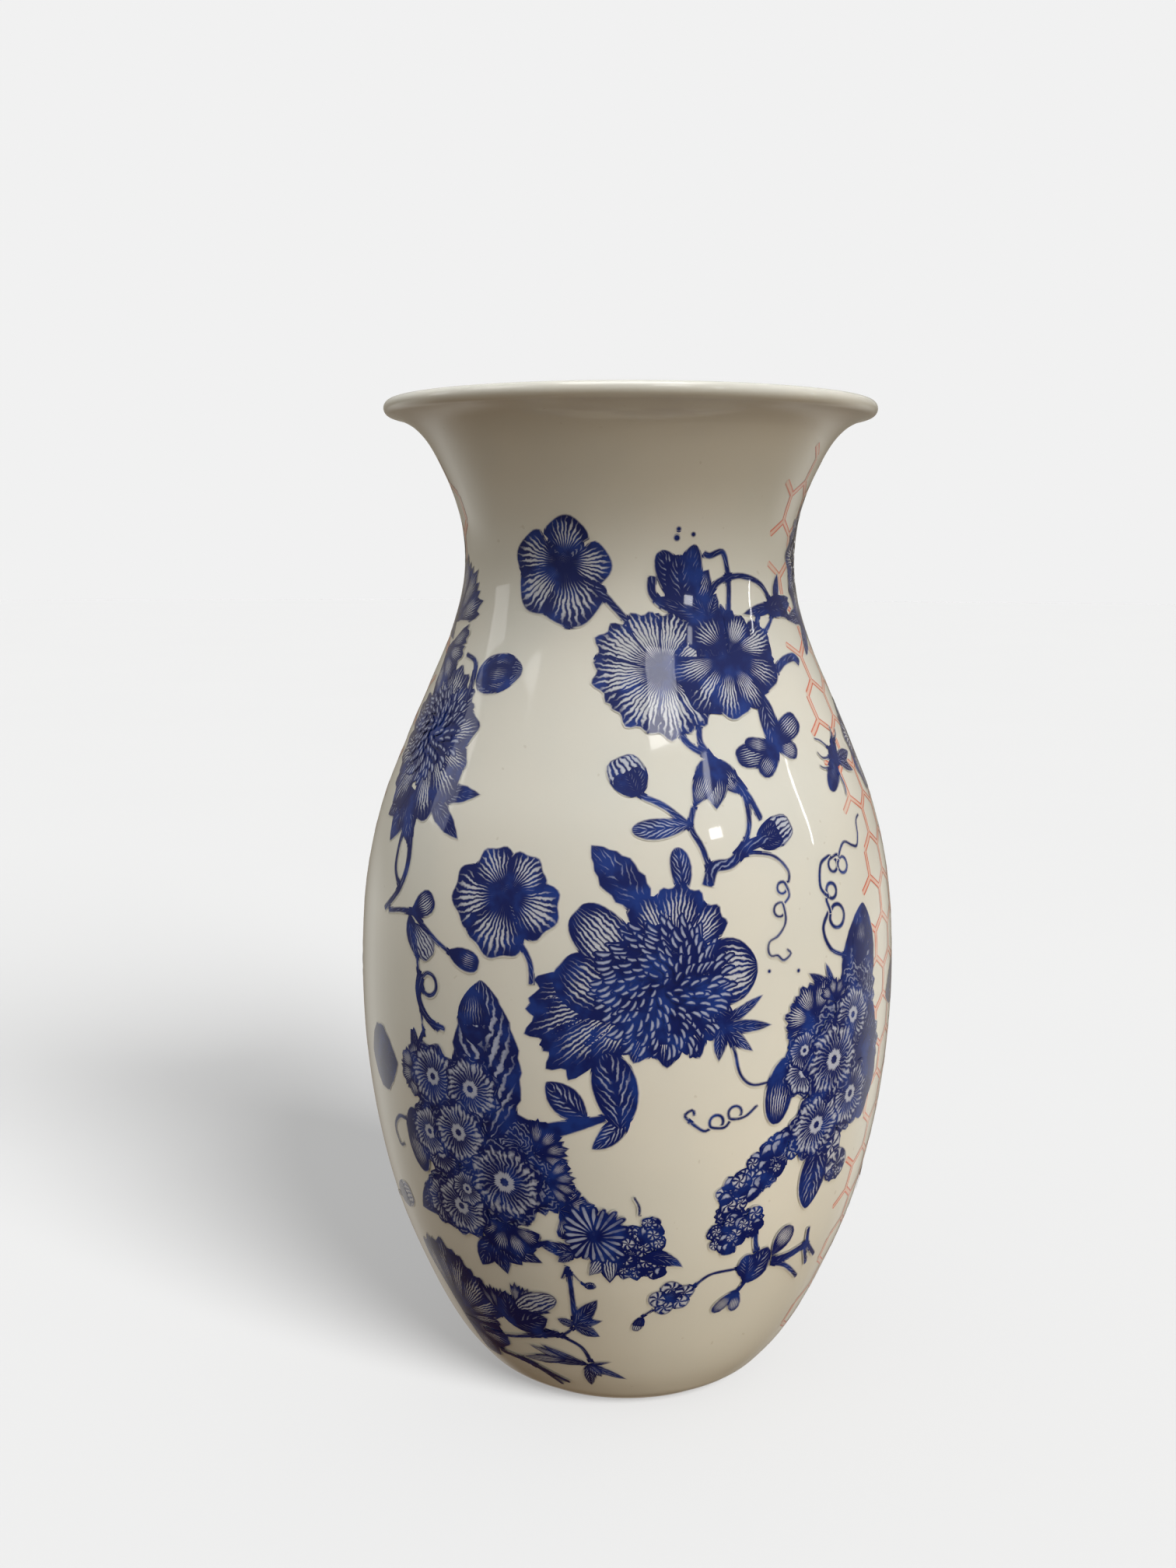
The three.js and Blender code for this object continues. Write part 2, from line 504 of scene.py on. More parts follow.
def moved(sheets, x=0, y=0, turn=0, size=1, mirror=False):
    # turn is in degrees anticlockwise
    c, s = cos(radians(turn)) * size, sin(radians(turn)) * size
    out = []
    for sheet in sheets:
        points = sheet["points"].copy()
        px, py = points[:, 0] * (-1 if mirror else 1), points[:, 1].copy()
        points[:, 0] = x + c * px - s * py
        points[:, 1] = y + s * px + c * py
        points[:, 4] *= size
        faces = sheet["faces"][:, ::-1] if mirror else sheet["faces"]
        out.append({**sheet, "points": points, "faces": faces})
    return out


def fanPetal(length, spread, notch=0.20, ruffle=0.03, waves=2, ink="petalInk", tone=0.5):
    # a petal that opens from the flower's centre, pointing up; notch rounds its end and ruffle waves it
    u, v, faces = blankSheet(cells(length * radians(spread) * 2, 6), cells(length, 6))
    half = radians(spread)
    reach = 1 - notch * np.abs(u) ** 2.4 + ruffle * np.cos(waves * pi * u) * v**2
    angle = u * half * (0.72 + 0.28 * v)
    radius = length * v * reach
    tip = (1 - v) * length * 0.95
    sides = (1 - np.abs(u)) * half * radius + np.clip(0.3 - v, 0, 1) * 16
    x, y = radius * np.sin(angle), radius * np.cos(angle)
    return [sheetOf(ink, faces, x, y, u, v, np.minimum(tip, sides), tone)]


def blade(length, width, fat=0.45, blunt=0.8, bend=0.0, ink="leafInk", tone=0.5, bite=0.0, teeth=7):
    # a leaf or a long petal from its base at 0, 0, pointing up and bending to the right; it is widest at
    # fat along its length, blunt shapes its ends and bite cuts teeth into its sides
    u, v, faces = blankSheet(cells(width, 4), cells(length, 6))
    along = (1 - np.cos(pi * v)) / 2
    tail = blunt * (1 - fat) / fat
    peak = fat**blunt * (1 - fat) ** tail
    half = width / 2 * (along**blunt) * ((1 - along) ** tail) / peak
    half = half * (1 - bite * ((along * teeth) % 1.0))
    turn = radians(bend) + 1e-4
    midX = length / turn * (1 - np.cos(turn * along))
    midY = length / turn * np.sin(turn * along)
    x = midX + u * half * np.cos(turn * along)
    y = midY - u * half * np.sin(turn * along)
    edge = np.minimum((1 - np.abs(u)) * half, np.minimum((1 - along) * length, along * length + 0.35))
    return [sheetOf(ink, faces, x, y, u, along, edge, tone)]


def disc(radius, lobes=0, depth=0.08, ink="ringInk", tone=0.5, squash=1.0):
    # a round sheet with a lobed edge; u runs round and v runs out from the centre
    u, v, faces = blankSheet(max(12, lobes * 4, cells(radius * 6)), cells(radius, 4))
    reach = radius * (1 - depth * (0.5 - 0.5 * np.cos(lobes * pi * u)))
    x, y = reach * v * np.sin(pi * u), reach * v * np.cos(pi * u) * squash
    return [sheetOf(ink, faces, x, y, u, v, (1 - v) * reach, tone)]


def stroke(points, width, tip=None, ink="stemInk", tone=0.5):
    # a stem along a smooth line, with its width at the start and at the tip
    tip = width if tip is None else tip
    line = np.array([p[:] for p in smoothThrough(points, 8)])
    run = np.concatenate([[0], np.cumsum(np.hypot(*np.diff(line, axis=0).T))])
    steps = max(3, int(run[-1] / 0.7))
    share = np.linspace(0, 1, steps + 1)
    mid = np.stack([np.interp(share * run[-1], run, line[:, k]) for k in (0, 1)], -1)
    way = np.gradient(mid, axis=0)
    way /= np.maximum(np.hypot(way[:, 0], way[:, 1]), 1e-9)[:, None]
    u, v, faces = blankSheet(cells(width, 2), steps)
    index = np.round(v * steps).astype(int)
    half = (width + (tip - width) * v) * 0.4 + 0.34
    x = mid[index, 0] + u * half * way[index, 1]
    y = mid[index, 1] - u * half * way[index, 0]
    ends = np.minimum(v, 1 - v) * run[-1] + 0.34
    return [sheetOf(ink, faces, x, y, u, v, np.minimum((1 - np.abs(u)) * half, ends), tone)]


def loop(x, y, radius, start, sweep):
    # the points of a round turn, for use inside a stroke
    steps = max(4, int(abs(sweep) / 40))
    turns = [radians(start + sweep * k / steps) for k in range(steps + 1)]
    return [(x + radius * cos(t), y + radius * sin(t)) for t in turns]


def fansFrom(x, y, tips, spread=36, **more):
    sheets = []
    for tipX, tipY in tips:
        heading = np.degrees(atan2(tipY - y, tipX - x)) - 90
        sheets += moved(fanPetal(hypot(tipX - x, tipY - y), spread, **more), x, y, heading)
    return sheets


def bladesFrom(x, y, tips, bend=0.0, **more):
    # tips are (x, y, width of the blade)
    sheets = []
    for tipX, tipY, width in tips:
        half = radians(bend) / 2 + 1e-4
        length = hypot(tipX - x, tipY - y) * half / sin(half)
        heading = np.degrees(atan2(tipY - y, tipX - x)) - 90 + bend / 2
        sheets += moved(blade(length, width, bend=bend, **more), x, y, heading)
    return sheets


printed = []


def layOnGlaze(name, sheets, angle, height, turn=0, size=1, mirror=False, lift=transfer["lift"],
               slot="cobalt_print"):
    sheets = moved(sheets, 0, 0, turn, size, mirror)
    step = 0 if slot == "coral_print" else min(transfer["layer"], transfer["stack"] / len(sheets))
    points = np.concatenate([s["points"] for s in sheets])
    layer = np.concatenate([np.full(len(s["points"]), i) for i, s in enumerate(sheets)])
    lifts = (lift + (layer + transfer["tilt"] * points[:, 3]) * step) * mm
    arc = np.interp(height * mm, wallZ, wallArc) + points[:, 1] * mm
    r = np.interp(arc, wallArc, wallR)
    z = np.interp(arc, wallArc, wallZ)
    outR = np.interp(arc, wallArc, alongZ)
    outZ = -np.interp(arc, wallArc, alongR)
    a = radians(angle) + points[:, 0] * mm / r
    far = r + lifts * outR
    corners = np.stack([far * np.sin(a), -far * np.cos(a), z + lifts * outZ], -1)
    job = {"name": name, "sheets": sheets, "points": points, "layer": layer, "corners": corners, "slot": slot}
    printed.append(job)


def innerRims(corners, sheetIds, edges):
    # 1 where a sheet's edge lies over or beside another sheet, 0 where it is the outside of the print
    room = 1024  # cells along each axis, each with its own number
    place = np.floor(corners / (transfer["touch"] * mm)).astype(int) + room // 2
    keys = (place[:, 0] * room + place[:, 1]) * room + place[:, 2]
    solid = np.flatnonzero(edges > transfer["solid"])
    solid = solid[np.argsort(keys[solid], kind="stable")]
    filled, first = np.unique(keys[solid], return_index=True)
    lowest = np.minimum.reduceat(sheetIds[solid], first)
    highest = np.maximum.reduceat(sheetIds[solid], first)
    inner = np.zeros(len(corners))
    near = np.flatnonzero(edges < transfer["near"])
    for dx, dy, dz in product((-1, 0, 1), repeat=3):
        wanted = keys[near] + (dx * room + dy) * room + dz
        found = np.minimum(np.searchsorted(filled, wanted), len(filled) - 1)
        other = (lowest[found] != sheetIds[near]) | (highest[found] != sheetIds[near])
        inner[near[(filled[found] == wanted) & other]] = 1
    return inner


def buildPrint(name, sheets, points, corners):
    faces, owners, names = [], [], []
    start = 0
    for sheet in sheets:
        if sheet["ink"] not in names:
            names.append(sheet["ink"])
        faces += (sheet["faces"] + start).tolist()
        owners += [names.index(sheet["ink"])] * len(sheet["faces"])
        start += len(sheet["points"])
    mesh = bpy.data.meshes.new(name)
    mesh.from_pydata(corners.tolist(), [], faces)
    mesh.polygons.foreach_set("material_index", owners)
    mesh.polygons.foreach_set("use_smooth", [True] * len(faces))
    flat = np.concatenate(faces)
    for mapName, first in (("ink", 2), ("edge", 4), ("rim", 6)):
        uvs = mesh.uv_layers.new(name=mapName)
        uvs.data.foreach_set("uv", points[flat][:, first : first + 2].astype(np.float32).ravel())
    for ink in names:
        mesh.materials.append(materials[ink])
    piece = bpy.data.objects.new(name, mesh)
    scene.collection.objects.link(piece)
    followGlaze(mesh)
    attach(piece, "root")


def buildAllPrints():
    blue = [job for job in printed if job["slot"] == "cobalt_print"]
    most = max(len(job["sheets"]) for job in blue)
    sheetIds = np.concatenate([job["layer"] + most * i for i, job in enumerate(blue)])
    corners = np.concatenate([job["corners"] for job in blue])
    edges = np.concatenate([job["points"][:, 4] for job in blue])
    inner = innerRims(corners, sheetIds, edges)
    start = 0
    for job in printed:
        count = len(job["points"])
        rims = np.zeros((count, 2))
        if job["slot"] == "cobalt_print":
            rims[:, 0] = inner[start : start + count]
            start += count
        points = np.column_stack([job["points"], rims])
        buildPrint(job["name"], job["sheets"], points, job["corners"])


def followGlaze(mesh):
    # the print shines as one surface with the glaze under it
    corners = np.array([v.co for v in mesh.vertices])
    r = np.hypot(corners[:, 0], corners[:, 1])
    outR = np.interp(corners[:, 2], wallZ, alongZ)
    outZ = -np.interp(corners[:, 2], wallZ, alongR)
    normals = np.stack([corners[:, 0] / r * outR, corners[:, 1] / r * outR, outZ], -1)
    mesh.normals_split_custom_set_from_vertices(normals.tolist())


def petalsFrom(x, y, tips, **more):
    return bladesFrom(x, y, tips, ink="petalInk", **more)


def ruffledFans(x, y, tips, spread, ruffle=0.05, **more):
    return fansFrom(x, y, tips, spread, ruffle=ruffle, waves=3, **more)


def discsAt(places, spin, *more):
    # places are (x, y, radius); each disc is turned by another angle
    sheets = []
    for x, y, radius in places:
        sheets += moved(disc(radius, *more), x, y, spin * x)
    return sheets


# Flowers, leaves and sprigs, each in mm from its own centre.
def rosette(x, y, tips, spread, **more):
    return fansFrom(x, y, tips, spread, **more) + moved(disc(3.4, 7, 0.3, "stemInk", 0.6), x, y)


def openFlower():
    tips = [(14.5, 1), (-15, 5), (-11, -10.5), (2, 15.8), (6.5, -15.5)]
    return thicket([(0, 2, 9)], 0.7) + rosette(0.5, 2.5, tips, 44, notch=0.28)


def fiveFlower():
    tips = [(-18, 0), (-8, 14.5), (15, -3.5), (8.5, 13), (-5, -14.5)]
    return thicket([(0, 2, 8)], 0.7) + rosette(0, 3, tips, 45, notch=0.26, ruffle=0.04, waves=3)


def ruffledFlower():
    tips = [(12, 6), (11, -8), (0, 15.5), (-12, 15), (6, -17), (-22, 8), (-4, -21), (-24, -5), (-16, -17)]
    return thicket([(-3, 0, 10)], 0.7) + ruffledFans(-4, -1, tips, 28, ink="paleInk")


def facingFlower():
    sheets = thicket([(-8, 4, 10), (0, -2, 11)], 0.9)
    sheets += ruffledFans(-6, -1, [(-14, 9.5)], 44, tone=0.72)
    sheets += fansFrom(-6, -1, [(-20, -17), (-10, -20), (0, -17)], 25, tone=0.56)
    sheets += fansFrom(-6, -1, [(-24, -8)], 20, tone=0.5)
    sheets += fansFrom(-6, -1, [(10, -9)], 30, tone=0.68)
    return sheets + fansFrom(-6, -1, [(10, 4), (1, 9.8)], 28, tone=0.42)


def hoodedBud():
    sheets = thicket([(1, 6, 6.5)], 0.6)
    sheets += petalsFrom(2, 0, [(9, 11, 8)], tone=0.68)
    sheets += bladesFrom(0, 0, [(-6, 16, 8.5)], bend=-22, tone=0.62, fat=0.55, blunt=0.6)
    sheets += bladesFrom(1, 0, [(4.5, 18, 8), (-0.5, 15, 9)], tone=0.66, fat=0.5, blunt=0.6)
    sheets += stroke([(-8, 9), (-8, 4), (-4, 0), (2, 0), (9, -2)], 3.0, 2.4)
    sheets += bladesFrom(9, -4, [(-7, 3, 6)], tone=0.72)
    return sheets + bladesFrom(8, -3, [(1, 5, 5), (11, 4, 5)], tone=0.7)


def roundBud(x, y, tipX, tipY, width):
    # a pale ball held in a dark cup
    sheets = bladesFrom(x, y, [(tipX, tipY, width)], fat=0.58, blunt=0.42, ink="outlineInk")
    cupX, cupY = x + (tipX - x) * 0.62, y + (tipY - y) * 0.62
    side = width * 0.3 / hypot(tipX - x, tipY - y)
    for lean in (-1, 1, 0):
        leanX = cupX - lean * side * (tipY - y)
        leanY = cupY + lean * side * (tipX - x)
        sheets += bladesFrom(x, y, [(leanX, leanY, width * 0.52)], fat=0.6, tone=0.7)
    return sheets


def scaledBud(x, y, tipX, tipY, width):
    # a dark bud with overlapping scales
    sheets = bladesFrom(x, y, [(tipX, tipY, width)], fat=0.42, blunt=0.42, ink="thicketInk", tone=0.62)
    for lean in (-0.22, 0.22, 0):
        endX = x + (tipX - x) * 0.8 - lean * (tipY - y)
        endY = y + (tipY - y) * 0.8 + lean * (tipX - x)
        sheets += petalsFrom(x, y, [(endX, endY, width * 0.5)], fat=0.6, tone=0.78)
    return sheets


mum = {
    "seed": 7,
    "turn": 137.508,  # degrees from one floret to the next, which packs them evenly
    "inside": (2.9, 1.75),  # length and width of a floret in the middle, in mm
    "growth": (2.6, 0.45),  # what a floret at the rim has more
    "curl": 75,
    "lying": 92,  # degrees by which the florets lie across the flower
    "rising": 34,  # and how far they turn outwards towards the lower rim
}


def mumHead(radius, count, fullness=1.0):
    # a ball of curled florets: they lie across the flower above the middle and point out of it below
    draw = Random(mum["seed"])
    sheets = disc(radius * 0.97, 11, 0.05, "stemInk", 0.62)
    for k in range(count - 1, -1, -1):
        way = k * mum["turn"] + draw.uniform(-8, 8)
        share = (k / count) ** 0.5
        out = radius * share * 0.95
        x, y = out * cos(radians(way)), out * sin(radians(way))
        length = (mum["inside"][0] + mum["growth"][0] * share) * fullness + draw.uniform(-0.4, 0.5)
        wide = mum["inside"][1] + mum["growth"][1] * share
        tone = 0.5 + draw.uniform(-0.08, 0.08)
        floret = blade(length, wide, 0.5, 0.5, mum["curl"], ink="floretInk", tone=tone)
        outward = mum["rising"] * (1 - sin(radians(way))) * share
        across = mum["lying"] - outward + draw.uniform(-9, 9)
        sheets += moved(floret, x, y, way - 90 + across)
    return sheets


def chrysanthemum():
    sheets = ruffledFans(2, 2, [(-33, -5), (-34, -14), (-28, -23), (-16, -20)], 15, tone=0.62)
    sheets += fansFrom(4, 0, [(22, -9), (20, -15), (-5, -21), (13, -20), (4, -22.5)], 13, tone=0.6)
    sheets += ruffledFans(6, 6, [(18, 21), (-3, 24), (8, 27.5)], 24, ruffle=0.04, tone=0.62)
    sheets += petalsFrom(-4, -6, [(-25, 6, 17)], bend=24, fat=0.6, blunt=0.6, tone=0.62)
    sheets += petalsFrom(-3, 0, [(-21, 20, 15)], bend=-14, fat=0.62, blunt=0.6, tone=0.4)
    sheets += petalsFrom(12, 3, [(30, 4, 19)], bend=-8, fat=0.5, blunt=0.6, tone=0.42)
    return sheets + moved(mumHead(17.5, 190), 3, 0)


def peony():
    # the big flower seen from its side, petals to the right and leaves under it
    sheets = bladesFrom(2, -14, [(23, -12.5, 7), (19.5, -26, 7)], tone=0.62, bite=0.12)
    sheets += bladesFrom(-8, -14, [(-3, -30, 10), (-15, -31, 11), (-22, -24, 9)], tone=0.68, bite=0.1)
    sheets += ruffledFans(-6, 2, [(-15, 24), (-4, 24), (6, 17)], 24)
    sheets += fansFrom(-7, 2, [(3, -22), (12, -14)], 22, tone=0.6)
    sheets += fansFrom(-7, 2, [(13.5, -5)], 16) + fansFrom(-7, 2, [(13.5, 7)], 20, tone=0.52)
    sheets += ruffledFans(-7, 2, [(-27, 10), (-28, -6), (-20, -19)], 24, tone=0.55)
    return sheets + moved(mumHead(13.5, 120, 0.9), -8, 4)


def leafTwig():
    # the twig with three leaves right of the left cluster
    sheets = stroke([(-34, 12), (-24, 1), (-14, -2.5), (-5, -0.5), (6, 3)], 13, 2.4, tone=0.9)
    sheets += bladesFrom(12.5, 5, [(2, -6.5, 6.5)], bend=26, fat=0.5)
    sheets += bladesFrom(1, 2.5, [(-10.5, 12.5, 9.5)], bend=10, fat=0.5, tone=0.56)
    return sheets + bladesFrom(10, 0, [(5.5, 21.5, 13)], bend=-24, fat=0.55, blunt=0.6)


def ringFlowers(places):
    # small flowers with a pale ring round the middle, over a dark ground
    sheets = discsAt([(x, y, radius * 1.14) for x, y, radius in places], 19, 9, 0.16, "thicketInk", 0.60)
    for x, y, radius in places:
        sheets += moved(disc(radius, 8, 0.15, tone=0.48 + 0.10 * sin(5 * x + y)), x, y, 37 * x)
    return sheets


def ruffle(x, y, radius, start, stop, tone=0.55):
    # a small flower seen from its side: fans between two directions
    turns = np.linspace(start, stop, 4)
    tips = [(x + radius * cos(radians(t)), y + radius * sin(radians(t))) for t in turns]
    return ruffledFans(x, y, tips, abs(stop - start) / 5, ruffle=0.08, tone=tone)


def leftCluster():
    sheets = thicket([(2, -8, 17), (10, -26, 18), (0, -32, 12), (23, -13, 9), (27, -24, 10)])
    sheets += bladesFrom(14, -12, [(13, 34, 24)], blunt=0.6, bend=-8, tone=0.36, bite=0.09)
    sheets += petalsFrom(11, 15, [(10.5, 32, 11)], tone=0.85)
    sheets += stroke([(-8, 14), (-10, 24), (-9, 30)], 0.5) + stroke([(-14, 9), (-14, 15)], 1.2, 0.5)
    sheets += stroke([(-11, 11), (-8, 16.5)], 1.2, 0.5) + bladesFrom(-12, 8, [(-13, 16, 3)], tone=0.7)
    sheets += bladesFrom(2, -30, [(-20, -43, 13)], bend=-10, tone=0.64)
    sheets += bladesFrom(10, -44, [(3, -56, 8), (12, -57, 7), (18, -52, 8), (25, -50, 7)], tone=0.6)
    sheets += ruffle(-12, 3, 8.5, 100, 250) + ruffle(33, -31, 10, -80, 60)
    sheets += ruffle(28, -14, 10, -20, 80, 0.72) + ruffle(30, -22, 9, -50, 40, 0.66)
    sheets += ruffle(16, -38, 11, 200, 330, 0.62)
    sheets += petalsFrom(-16, -9, [(-13, -29, 10)], bend=-24, fat=0.5, blunt=0.5, tone=0.72)
    sheets += ringFlowers([(-4.5, -20, 7), (-5, 3, 9.5), (9, 2, 9.5), (-8.5, -14.5, 8), (-6.5, -36.5, 8)])
    return sheets + ringFlowers([(0.5, -36, 9.5), (4, -29.5, 6), (3.5, -12, 9.5), (17.5, -24.5, 12)])


def thicket(places, tone=0.58):
    # the scribbled ground between flowers
    return discsAt(places, 23, 15, 0.14, "thicketInk", tone)


def rightCluster():
    sheets = bladesFrom(6, 6, [(12.5, 38, 20)], blunt=0.6, tone=0.66, bite=0.04)
    sheets += thicket([(8, 12, 12), (12, -6, 13), (-4, 4, 14), (0, -18, 14)])
    sheets += petalsFrom(8, 20, [(12, 35, 9)], tone=0.85)
    sheets += bladesFrom(10, -2, [(21, -2, 22), (20, -22, 16), (16, -28, 14)], tone=0.75, fat=0.55)
    sheets += bladesFrom(-4, 15, [(-15, 22, 4), (-8, 24, 3)], tone=0.7) + ruffle(-12, 8, 11.5, 70, 215)
    sheets += ruffle(-4, 12, 7, 20, 140, 0.66)
    sheets += bladesFrom(-6, -28, [(-6, -51, 12)], fat=0.5, blunt=0.7, tone=0.62)
    sheets += petalsFrom(-22, -1, [(-24, -20.5, 10)], bend=-20, fat=0.5, blunt=0.5, tone=0.7)
    sheets += ringFlowers([(-15.5, -6, 7.5), (5, 6.5, 9), (-16, 0, 6), (6.5, -17.5, 10), (-8.5, -23.5, 10)])
    return sheets + ringFlowers([(-3.5, -5, 11.5)])


def palePetals(places):
    return discsAt(places, 61, 2, 0.12, "outlineInk")


def lace(x, y, x2, y2, wide, size, count, seed):
    # a run of small outlined blossoms from one place to another
    draw = Random(seed)
    sheets = []
    for k in range(count):
        along = draw.random()
        sideways = draw.uniform(-0.5, 0.5) * wide
        length = max(hypot(x2 - x, y2 - y), 1e-6)
        px = x + (x2 - x) * along - (y2 - y) / length * sideways
        py = y + (y2 - y) * along + (x2 - x) / length * sideways
        ink = "outlineInk" if draw.random() < 0.55 else "floretInk"
        sheets += moved(disc(size * draw.uniform(0.75, 1.2), 3, 0.16, ink, 0.55), px, py, draw.uniform(0, 90))
    return sheets


def aster(radius, count):
    # a daisy of thin petals of uneven length
    sheets = []
    for k in range(count):
        length = radius * (0.9 + 0.12 * sin(2.4 * k))
        petal = blade(length, 2.9, fat=0.66, blunt=0.75, ink="floretInk", tone=0.60 + 0.06 * (k % 3))
        sheets += moved(petal, turn=360 * k / count * (7 if count % 7 else 1))
    return sheets + disc(2.2, 6, 0.3, "stemInk", 0.6)


def asterSpray():
    # a daisy beside a cushion of tiny flowers
    sheets = thicket([(2, -1, 9.5), (7, 5, 4)], 0.5)
    sheets += lace(2, 7, 3, -8, 15, 2.3, 56, 5) + lace(6, 11, 8, 5, 6, 2.3, 12, 6)
    sheets += stroke([(4, 12), (4, 15), (2.5, 18)], 0.8) + stroke([(-16, 16), (-12, 10)], 0.8)
    sheets += bladesFrom(5, -2, [(17, -6.5, 5)], bend=60, fat=0.4, tone=0.75)
    sheets += bladesFrom(-4, 0, [(-10, -9, 5), (-4, -11, 5)], ink="outlineInk")
    sheets += moved(aster(11, 20), -8.5, 5)
    sheets += bladesFrom(-14, -1, [(-25, 1, 5), (-19, -5, 4)], tone=0.55)
    return sheets + stroke([(-27, -3), (-23, 1), (-19, -1)], 0.9)


def plumBranch():
    # the branch with a small blossom, buds and leaves right of the foot
    sheets = stroke([(-5, -4), (0, 0.5), (9, 1)], 1.4, 1.1) + stroke([(-15, -11), (-18, -14)], 1.0, 0.8)
    petals = [(-11, -3.5, 3.6), (-7, -5, 3.4), (-8, -8.5, 3.4), (-12, -10.5, 3.2), (-14.5, -7, 3.4)]
    sheets += palePetals(petals)
    sheets += moved(disc(2.6, 5, 0.3, "stemInk", 0.5), -10.5, -6.5)
    sheets += roundBud(-18, -14, -19, -20, 3.6)
    sheets += stroke([(12, -4), (10, -7.5), (8, -10)], 1.4, 1.0)
    sheets += petalsFrom(9.5, -7, [(3, -15, 5), (10, -16, 4.6)], tone=0.6, fat=0.62)
    sheets += stroke([(14, 6), (13, 10), (12, 18)], 2.2, 1.4) + stroke([(12, 12), (8, 14), (7, 18)], 1.6)
    sheets += bladesFrom(12, -5, [(18, 7, 10)], blunt=0.6, tone=0.6, bite=0.08)
    sheets += bladesFrom(12, -3, [(11, 6, 7)], fat=0.5, blunt=0.6, tone=0.66)
    sheets += stroke([(20, 1), (27, 1), (35, 3)], 3.6, 3.2) + stroke([(21, 0), (27, -3), (34, -10)], 1.8)
    sheets += petalsFrom(20, 3, [(26, 12.5, 7.5)], fat=0.6)
    return sheets + stroke([(34, 9), (35, 3), (41, -4)], 1.8) + stroke([(33, 4), (37, -6)], 1.8)


def trailingSprig():
    # the twigs at the foot of the left side
    sheets = stroke([(-15, 0), (-7, -2), (0, -6), (2.5, -13)], 1.3, 1.6)
    sheets += stroke([(-15, -5), (-6, -2.5), (-1, 2)], 1.2)
    sheets += stroke([(-1, 26), (-0.5, 18), (-0.5, 5)], 1.6, 2.2) + stroke([(-1, 26), (-3, 21)], 1.4, 0.7)
    sheets += stroke([(0, 24), (3, 20), (5, 19.5)], 0.5)
    sheets += moved(disc(1.9, ink="petalInk", tone=0.7, squash=0.75), 5.3, 19.3)
    sheets += bladesFrom(-1, 3, [(7, 14.5, 5.5), (8, 6, 3.2), (6.5, -1, 5), (-6, 5, 4)], tone=0.58)
    tips = [(9, -12, 1.8), (12.5, -21, 3.6), (1, -26, 4), (-13, -7.5, 3), (-16, -14, 3.6), (5, -20, 4)]
    sheets += bladesFrom(1.5, -14, tips)
    sheets += bladesFrom(-5, -13, [(-17, -9, 3), (-20, -16, 4)], ink="outlineInk")
    return sheets + stroke([(-22, -17), (-14, -21), (-8, -28)], 2.2, 1.6)


def sideFlower():
    # the big flower at the lower left, turned away
    tips = [(-30, 17), (-5, -8), (-22, 19), (-3, 2), (-14, 15), (-7, 9)]
    sheets = ruffledFans(-24, -12, tips, 17, ruffle=0.04, tone=0.6)
    sheets += fansFrom(-24, -12, [(-4, -16), (-12, -26)], 22, tone=0.68)
    sheets += ruffle(-3, -5, 13, 60, 110, 0.66) + ruffle(4, 0, 12, 20, 80, 0.62)
    sheets += bladesFrom(2, 0, [(18.5, 9, 8)], bend=12, fat=0.6, ink="outlineInk")
    sheets += bladesFrom(0, -6, [(14, 0, 10), (2, 8, 8)], tone=0.7)
    sheets += stroke([(-14, -14), (-2, -12), (16, -5)], 1.6)
    return sheets + stroke([(-10, -22), (2, -23), (12, -30)], 2.2)


def specks(places, tone=0.8):
    # small stray drops of ink
    return discsAt(places, 0, 0, 0, "stemInk", tone)


def bee():
    sheets = bladesFrom(0, 0, [(-9, -9, 6.5)], fat=0.5, blunt=0.5, ink="washInk", tone=0.95)
    sheets += specks([(0.5, 1, 3.4), (2.5, 4.2, 2.1)], 0.95)
    sheets += bladesFrom(1, 0, [(14, 1, 4.5), (12, -5, 4)], tone=0.62)
    legs = [[(-1, 3), (-5, 6), (-8, 7)], [(-3, 1), (-7, 1), (-9, 3)], [(2, 5), (4, 8), (4, 10)]]
    legs += [[(-3, -2), (-8, -2), (-10, -1)], [(3, 5), (7, 7), (8, 9)], [(-1, -4), (0, -8), (-1, -11)]]
    for leg in legs:
        sheets += stroke(leg, 1.0, 0.5, tone=0.8)
    return sheets


comb = {
    "side": 8.0,
    "band": 2.0,
    "topHeight": 286,
    "midHeight": 130,
    "footHeight": 12,
    "ragged": 5,  # the bands end up to this far short of the edges
    "cells": 9,  # cells to each side of the middle before the edges cut them off
}


def combEdge(x, y, x2, y2, width):
    # one band of the honeycomb; its ends are pointed so that three of them meet in a joint
    u, v, faces = blankSheet(4, 6)
    length = hypot(x2 - x, y2 - y)
    point = np.abs(u) * width / 2 * 0.577  # the tangent of 30 degrees
    along = point + v * (length - 2 * point)
    wayX, wayY = (x2 - x) / length, (y2 - y) / length
    px = x + wayX * along + wayY * u * width / 2
    py = y + wayY * along - wayX * u * width / 2
    return [sheetOf("coral", faces, px, py, u, v, (1 - np.abs(u)) * width / 2, 1.0)]


